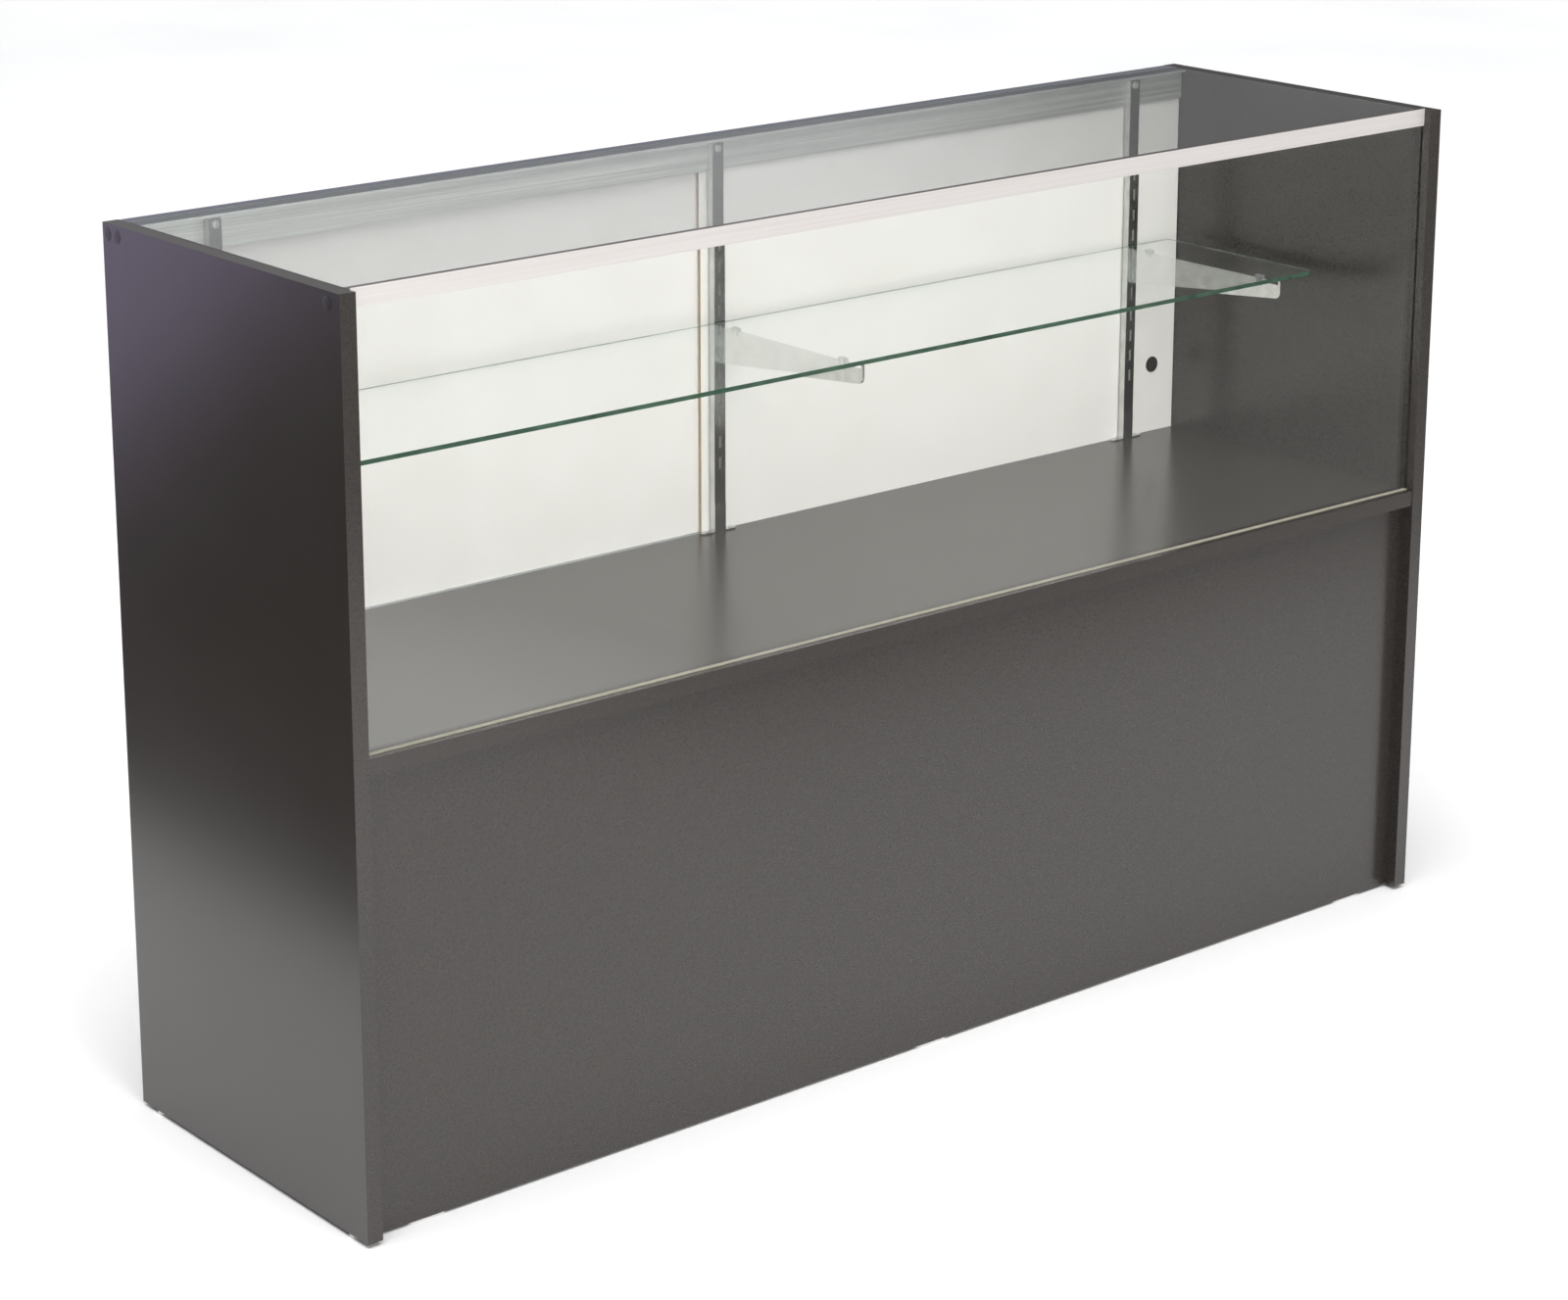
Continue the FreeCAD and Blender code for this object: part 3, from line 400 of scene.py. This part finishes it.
# several closed surfaces in one mesh, riding on a body and standing for a sub-part
def addPiece(name, surfaces, slot, body, node):
    points = []
    faces = []
    start = 0
    for surfacePoints, surfaceFaces in surfaces:
        points.append(surfacePoints)
        faces += [[start + i for i in face] for face in surfaceFaces]
        start += len(surfacePoints)
    mesh = bpy.data.meshes.new(name)
    mesh.from_pydata(np.concatenate(points).tolist(), [], faces)
    mesh.polygons.foreach_set("use_smooth", np.ones(len(mesh.polygons), bool))
    mesh.materials.append(looks[slot])
    mesh.set_sharp_from_angle(angle=math.radians(creaseAngle))
    mesh.update()
    piece = bpy.data.objects.new(name, mesh)
    bpy.context.collection.objects.link(piece)
    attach(piece, body)
    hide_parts(node)


poleGap = {"dome": 0.02, "block": 0.03}  # radians from the pole to the first ring, which is capped


# r and z of a quarter superellipse from the axis to the rim: (r/R)^p + (z/t)^p = 1
def domeProfile(radius, thick, power, steps):
    turn = np.linspace(poleGap["dome"], math.pi / 2, steps)
    return radius * np.sin(turn) ** (2 / power), thick * np.cos(turn) ** (2 / power)


# a turned solid: every row is one circle of the profile
def turned(radii, heights, around=48):
    angle = np.linspace(0, 2 * math.pi, around, endpoint=False)
    radii = np.asarray(radii, float)[:, None]
    heights = np.asarray(heights, float)[:, None]
    flat = np.ones_like(angle)
    return np.stack([radii * np.cos(angle), radii * np.sin(angle), heights * flat], axis=-1)


# 0 to 1 as the value crosses from 0 to its span, eased at both ends
def eased(value, span):
    part = np.clip(value / span, 0, 1)
    return part * part * (3 - 2 * part)


headGrid = {"rings": 26, "around": 96, "endToWall": 1.5}


# a domed head with a cross sunk in it, on a plain shank: the cross is two arms, each the product of an
# eased wall across it and an eased end along it
def crossHead(look):
    radii, heights = domeProfile(look["radius"], look["thick"], look["power"], headGrid["rings"])
    head = turned(radii, heights, headGrid["around"])
    x, y = head[..., 0], head[..., 1]
    wall, end = look["crossWall"], look["crossWall"] * headGrid["endToWall"]
    armX = eased(look["crossWide"] / 2 - abs(y), wall) * eased(look["crossLong"] / 2 - abs(x), end)
    armY = eased(look["crossWide"] / 2 - abs(x), wall) * eased(look["crossLong"] / 2 - abs(y), end)
    head[..., 2] -= look["crossDeep"] * np.maximum(armX, armY)
    shank = turned([look["shank"], look["shank"]], [0, -look["reach"]], headGrid["around"])
    return np.concatenate([head, shank])


# a soft block: a superquadric from its half sizes, whose sines and cosines keep their sign and are
# raised to 2/power, so it is squarer as the power grows
def softBlock(half, power, steps=14, around=56):
    top = math.pi / 2 - poleGap["block"]
    lean = np.linspace(top, -top, steps)[:, None]
    turn = np.linspace(0, 2 * math.pi, around, endpoint=False)[None, :]

    def squared(value):
        return np.sign(value) * abs(value) ** (2 / power)

    x = half[0] * squared(np.cos(lean)) * squared(np.cos(turn))
    y = half[1] * squared(np.cos(lean)) * squared(np.sin(turn))
    z = half[2] * squared(np.sin(lean)) * np.ones_like(turn)
    return np.stack([x, y, z], axis=-1)


def boxOf(name):
    low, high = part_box(name)
    return np.array(low), np.array(high)


# separate solids of a packed sub-part, as the low and high corners of each, in order of X, Y and Z
def solidBoxes(name):
    mesh = parts[name].data
    points = np.empty(len(mesh.vertices) * 3)
    mesh.vertices.foreach_get("co", points)
    points = points.reshape(-1, 3)
    corners = np.empty(len(mesh.polygons) * 3, int)
    mesh.polygons.foreach_get("vertices", corners)
    corners = corners.reshape(-1, 3)
    place, same = np.unique(np.round(points, 5), axis=0, return_inverse=True)
    corners = same.reshape(-1)[corners]
    label = np.arange(len(place))
    while True:  # each triangle hands its lowest label on until nothing changes
        lowest = label[corners].min(axis=1)
        fresh = label.copy()
        for column in range(3):
            np.minimum.at(fresh, corners[:, column], lowest)
        if (fresh == label).all():
            break
        label = fresh
    boxes = [(place[label == k].min(axis=0), place[label == k].max(axis=0)) for k in np.unique(label)]
    return sorted(boxes, key=lambda box: tuple(np.round(box[0], 4)))


standardScrewLook = {
    "radius": 0.0046, "thick": 0.0026, "power": 3.0, "shank": 0.002, "reach": 0.014,
    "crossWide": 0.0017, "crossLong": 0.0056, "crossDeep": 0.0016, "crossWall": 0.0006,
}
footScrewLook = {
    "radius": 0.0030, "thick": 0.0014, "power": 2.6, "shank": 0.0016, "reach": 0.012,
    "crossWide": 0.0012, "crossLong": 0.0038, "crossDeep": 0.0009, "crossWall": 0.0004,
}
camLook = {
    "radius": 0.0074, "thick": 0.0012, "power": 9.0, "shank": 0.0072, "reach": 0.0110,
    "crossWide": 0.0026, "crossLong": 0.0092, "crossDeep": 0.0030, "crossWall": 0.0008,
    "sunk": 0.0002, "clearlyLess": 0.001,
}


def makeStandardScrews():
    surfaces = []
    for low, high in solidBoxes("standard_screws"):
        middle = (low + high) / 2
        place = (middle[0], low[1] + standardScrewLook["thick"], middle[2])
        surfaces.append(closedRows(carried(crossHead(standardScrewLook), place, "-y")))
    addPiece("standardScrewHeads", surfaces, "screw_steel", "cabinet", "standard_screws")


def makeFootScrews():
    surfaces = []
    for low, high in solidBoxes("foot_screws"):
        middle = (low + high) / 2
        place = (middle[0], middle[1], high[2] - footScrewLook["thick"])
        surfaces.append(closedRows(carried(crossHead(footScrewLook), place, "+z")))
    addPiece("footScrewHeads", surfaces, "screw_steel", "cabinet", "foot_screws")


# the cams under the level boards look down, and the cams in the front panel look to the rear
def makeCams():
    surfaces = []
    for low, high in solidBoxes("cam_locks"):
        middle = (low + high) / 2
        size = high - low
        if size[2] < size[1] - camLook["clearlyLess"]:  # it lies flat
            place = (middle[0], middle[1], low[2] + camLook["thick"] + camLook["sunk"])
            direction = "-z"
        else:
            place = (middle[0], high[1] - camLook["thick"] - camLook["sunk"], middle[2])
            direction = "+y"
        surfaces.append(closedRows(carried(crossHead(camLook), place, direction)))
    addPiece("camFaces", surfaces, "cam_alloy", "cabinet", "cam_locks")


makeStandardScrews()
makeFootScrews()
makeCams()
print("screws and cams made")

capLook = {"radius": 0.0070, "proud": 0.00035, "power": 2.4, "depth": 0.0022, "rings": 14, "around": 64}


# slightly domed caps over the rail screws, on the outside of a side panel
def makeCaps(side, direction):
    node = "screw_caps_" + side
    look = capLook
    radii, heights = domeProfile(look["radius"], look["proud"], look["power"], look["rings"])
    rows = turned([*radii, look["radius"]], [*heights, -look["depth"]], look["around"])
    surfaces = []
    for low, high in solidBoxes(node):
        middle = (low + high) / 2
        outer = high[0] if direction == "+x" else low[0]
        surfaces.append(closedRows(carried(rows, (outer, middle[1], middle[2]), direction)))
    addPiece("screwCaps" + side.capitalize(), surfaces, "cap_plastic", "cabinet", node)


cupLook = {
    "soft": 0.0005, "wall": 0.0012, "dish": 0.0006, "barrel": 0.0098,
    "pole": 0.0002, "heel": 0.001, "around": 72,
}


# r and z along a profile, with each inner corner replaced by a quadratic curve that starts and ends
# at the given distance from it
def softened(profile, reach, steps=5):
    profile = np.array(profile, float)
    out = [profile[0]]
    for before, corner, after in zip(profile[:-2], profile[1:-1], profile[2:]):
        back = (before - corner) / np.linalg.norm(before - corner)
        on = (after - corner) / np.linalg.norm(after - corner)
        share = np.linspace(0, 1, steps)[:, None]
        out.extend(corner + reach * (back * (1 - share) ** 2 + on * share ** 2))
    out.append(profile[-1])
    return np.array(out)


# a blind cup: a dished floor, a barrel through the door and a flange on its rear face, turned about Y
def makeCup(side):
    node = "finger_cup_" + side
    low, high = boxOf(node)
    middle = (low + high) / 2
    flange = (high[0] - low[0]) / 2
    front, rear = low[1] - middle[1], high[1] - middle[1]
    back = boxOf("sliding_door_" + side)[1][1] - middle[1]
    barrel, wall = cupLook["barrel"], cupLook["wall"]
    pole = cupLook["pole"]
    profile = softened([
        (pole, front + wall + cupLook["dish"]), (barrel - 2 * wall, front + wall),
        (barrel - wall, front + wall + cupLook["heel"]), (barrel - wall, rear), (flange, rear),
        (flange, back), (barrel, back), (barrel, front), (pole, front),
    ], cupLook["soft"] / 2)
    rows = turned(profile[:, 0], profile[:, 1], cupLook["around"])
    surfaces = [closedRows(carried(rows, middle, "+y"))]
    addPiece("fingerCup" + side.capitalize(), surfaces, "cup_plastic", side + "_door", node)


restLook = {"power": 5.0, "padHalf": 0.0026, "stemPower": 6.0, "stemShare": (0.8, 0.66, 0.8)}


# a soft pad on top and a narrower foot down in the blade's notch
def makeRests(place):
    node = "shelf_rests_" + place
    surfaces = []
    for low, high in solidBoxes(node):
        middle = (low + high) / 2
        half = (high - low) / 2
        padHalf = np.array([half[0], half[1], restLook["padHalf"]])
        pad = softBlock(padHalf, restLook["power"]) + (middle[0], middle[1], high[2] - padHalf[2])
        stemHalf = half * restLook["stemShare"]
        stem = softBlock(stemHalf, restLook["stemPower"]) + (middle[0], middle[1], low[2] + stemHalf[2])
        surfaces += [closedRows(pad), closedRows(stem)]
    addPiece("shelfRests" + place.capitalize(), surfaces, "clear_rubber", "cabinet", node)


glideLook = {"power": 3.2, "rings": 18, "stripPower": 7.0}


# round glides under a side panel, domed towards the floor
def makeSideGlides(side):
    node = "side_glides_" + side
    surfaces = []
    for low, high in solidBoxes(node):
        middle = (low + high) / 2
        radius, thick = (high[0] - low[0]) / 2, high[2] - low[2]
        radii, heights = domeProfile(radius, thick, glideLook["power"], glideLook["rings"])
        place = (middle[0], middle[1], high[2])
        surfaces.append(closedRows(carried(turned(radii, heights), place, "-z")))
    addPiece("sideGlides" + side.capitalize(), surfaces, "white_nylon", "cabinet", node)


# flat glides under the front panel
def makeFrontGlides():
    surfaces = []
    for low, high in solidBoxes("front_panel_glides"):
        block = softBlock((high - low) / 2, glideLook["stripPower"])
        surfaces.append(closedRows(block + (low + high) / 2))
    addPiece("frontGlides", surfaces, "white_nylon", "cabinet", "front_panel_glides")


for side, direction in (("left", "-x"), ("right", "+x")):
    makeCaps(side, direction)
    makeCup(side)
    makeSideGlides(side)
for place in ("left", "centre", "right"):
    makeRests(place)
makeFrontGlides()
print("caps, cups, rests and glides made")

cameraLook = {
    "at": (-2.6192, -3.0821, 1.7320),
    "yaw": 38.585,
    "pitch": -15.267,
    "roll": 0.241,
    "lens": 86.987,
    "shiftRight": 0.05,
    "shiftUp": -0.12,
}

floorLook = {
    "halfSide": 40.0, "white": (0.93, 0.93, 0.93), "shade": (0.88, 0.885, 0.89), "cloudSize": 1.3,
}


# white paper with a faint cloud
def makeFloor():
    half = floorLook["halfSide"]
    corners = [(-half, -half, 0), (half, -half, 0), (half, half, 0), (-half, half, 0)]
    mesh = bpy.data.meshes.new("floor")
    mesh.from_pydata(corners, [], [(0, 1, 2, 3)])
    material, tree, shader = freshMaterial("floorPaper", Roughness=0.6, Specular_IOR_Level=0.1)
    cloud = noiseOn(tree, stretched(tree), floorLook["cloudSize"], 3)
    colour = rampOn(tree, cloud, floorLook["shade"], floorLook["white"])
    tree.links.new(colour, shader.inputs["Base Color"])
    mesh.materials.append(material)
    floor = bpy.data.objects.new("floor", mesh)
    bpy.context.collection.objects.link(floor)


flagLook = {
    "left": {"low": (-1.2, -0.4, 0.0), "high": (-1.2, 4.4, 2.4), "along": (0, 0.65, 1),
             "nearAt": 1.02, "farAt": 1.34, "near": (0.002, 0.002, 0.002), "far": (0.78, 0.68, 1.05)},
    "front": {"low": (0.1, -5.0, 0.004), "high": (7.0, -1.15, 0.004), "along": (0, 1, 0),
              "nearAt": -1.15, "farAt": -3.1, "near": (0.45, 0.45, 0.435), "far": (0.09, 0.09, 0.087),
              "fade": (0.1, 0.7)},
}


# two cards for the reflections, each graded along a direction from its near shade to its far one: an
# upright one at the left end, and a flat one before the glass, which also shows as a grey floor
# through the glass
def makeFlags():
    for side, look in flagLook.items():
        low, high = np.array(look["low"]), np.array(look["high"])
        first, second = [axis for axis in range(3) if high[axis] > low[axis]]
        corners = np.tile(low, (4, 1))
        corners[1:3, first] = high[first]
        corners[2:4, second] = high[second]
        mesh = bpy.data.meshes.new(side + "Flag")
        mesh.from_pydata(corners.tolist(), [], [(0, 1, 2, 3)])
        material, tree, shader = freshMaterial(side + "Card", Roughness=1.0, Specular_IOR_Level=0.0)
        shader.inputs["Base Color"].default_value = (0, 0, 0, 1)
        shader.inputs["Emission Strength"].default_value = 1.0
        run = nodeOf(tree, "ShaderNodeVectorMath", operation="DOT_PRODUCT")
        run.inputs[1].default_value = look["along"]
        tree.links.new(stretched(tree), run.inputs[0])
        share = spread(tree, run.outputs["Value"], 0, 1, look["nearAt"], look["farAt"], "SMOOTHSTEP")
        shade = mixColours(tree, share, look["near"], look["far"])
        tree.links.new(shade, shader.inputs["Emission Color"])
        if "fade" in look:  # the left edge melts into the floor
            place = nodeOf(tree, "ShaderNodeSeparateXYZ")
            tree.links.new(stretched(tree), place.inputs["Vector"])
            faded = spread(tree, place.outputs["X"], 0, 1, *look["fade"], "SMOOTHSTEP")
            tree.links.new(faded, shader.inputs["Alpha"])
        mesh.materials.append(material)
        flag = bpy.data.objects.new(side + "Flag", mesh)
        bpy.context.collection.objects.link(flag)
        for rays in ("camera", "diffuse", "volume_scatter", "shadow"):
            setattr(flag, "visible_" + rays, False)
        # the standards see the front card through the front glass
        flag.visible_transmission = side == "front"


lampLook = {
    "overhead": {"kind": "SUN", "at": (-1.2, -1.6, 6.0), "aim": (0, 0, 0), "power": 3.25, "spread": 60,
                 "colour": (1, 1, 1)},
    "front": {"kind": "AREA", "at": (-0.9, -4.8, 1.9), "aim": (0.3, 0, 0.6), "power": 120, "side": 2.4,
              "colour": (1, 0.985, 0.965)},
    "rear": {"kind": "AREA", "at": (-1.6, 4.4, 1.3), "aim": (0.2, 0, 0.4), "power": 90, "side": 2.4,
             "colour": (1, 0.99, 0.98)},
}


# the lamps light the case and show in reflections, but aren't seen directly or through glass
def makeLamps():
    for name, lamp in lampLook.items():
        data = bpy.data.lights.new(name, lamp["kind"])
        data.energy = lamp["power"]
        data.color = lamp["colour"]
        if lamp["kind"] == "SUN":
            data.angle = math.radians(lamp["spread"])
        else:
            data.size = lamp["side"]
        light = bpy.data.objects.new(name, data)
        bpy.context.collection.objects.link(light)
        light.location = lamp["at"]
        toward = Vector(lamp["aim"]) - Vector(lamp["at"])
        light.rotation_euler = toward.to_track_quat("-Z", "Y").to_euler()
        light.visible_camera = False
        light.visible_transmission = False


worldLook = {
    "colour": (0.97, 0.97, 1.0),
    "strength": 0.16,
    "glow": 0.38,
    "glowAzimuth": 31,
    "glowHeight": 15,
    "glowInner": 9,
    "glowOuter": 15,
}


# a dim cool room with one soft glow low behind the case, and a white backdrop where it is seen
# directly
def makeWorld():
    look = worldLook
    world = bpy.data.worlds.new("studio")
    world.use_nodes = True
    tree = world.node_tree
    sky = tree.nodes["Background"]
    sky.inputs["Color"].default_value = (*look["colour"], 1)
    azimuth, rise = math.radians(look["glowAzimuth"]), math.radians(look["glowHeight"])
    along = nodeOf(tree, "ShaderNodeVectorMath", operation="DOT_PRODUCT")
    along.inputs[1].default_value = (
        math.sin(azimuth) * math.cos(rise), math.cos(azimuth) * math.cos(rise), math.sin(rise))
    tree.links.new(nodeOf(tree, "ShaderNodeTexCoord").outputs["Generated"], along.inputs[0])
    edges = (math.cos(math.radians(look["glowOuter"])), math.cos(math.radians(look["glowInner"])))
    glow = spread(tree, along.outputs["Value"], look["strength"], look["glow"], *edges, "SMOOTHSTEP")
    backdrop = nodeOf(tree, "ShaderNodeMath", operation="MAXIMUM")
    tree.links.new(glow, backdrop.inputs[0])
    tree.links.new(nodeOf(tree, "ShaderNodeLightPath").outputs["Is Camera Ray"], backdrop.inputs[1])
    tree.links.new(backdrop.outputs["Value"], sky.inputs["Strength"])
    bpy.context.scene.world = world


# the camera looks along +Y at yaw 0 and level at pitch 0
def makeCamera():
    look = cameraLook
    data = bpy.data.cameras.new("camera")
    data.sensor_width = 36
    data.lens = look["lens"]
    data.shift_x = look["shiftRight"]
    data.shift_y = look["shiftUp"]
    camera = bpy.data.objects.new("camera", data)
    bpy.context.collection.objects.link(camera)
    turn = (
        Matrix.Rotation(-math.radians(look["yaw"]), 4, "Z")
        @ Matrix.Rotation(math.radians(90 + look["pitch"]), 4, "X")
        @ Matrix.Rotation(-math.radians(look["roll"]), 4, "Z")
    )
    camera.matrix_world = Matrix.Translation(look["at"]) @ turn
    bpy.context.scene.camera = camera


makeFloor()
makeFlags()
makeLamps()
makeWorld()
makeCamera()
bpy.context.scene.view_settings.view_transform = "Standard"
print("stage, lamps and camera set")
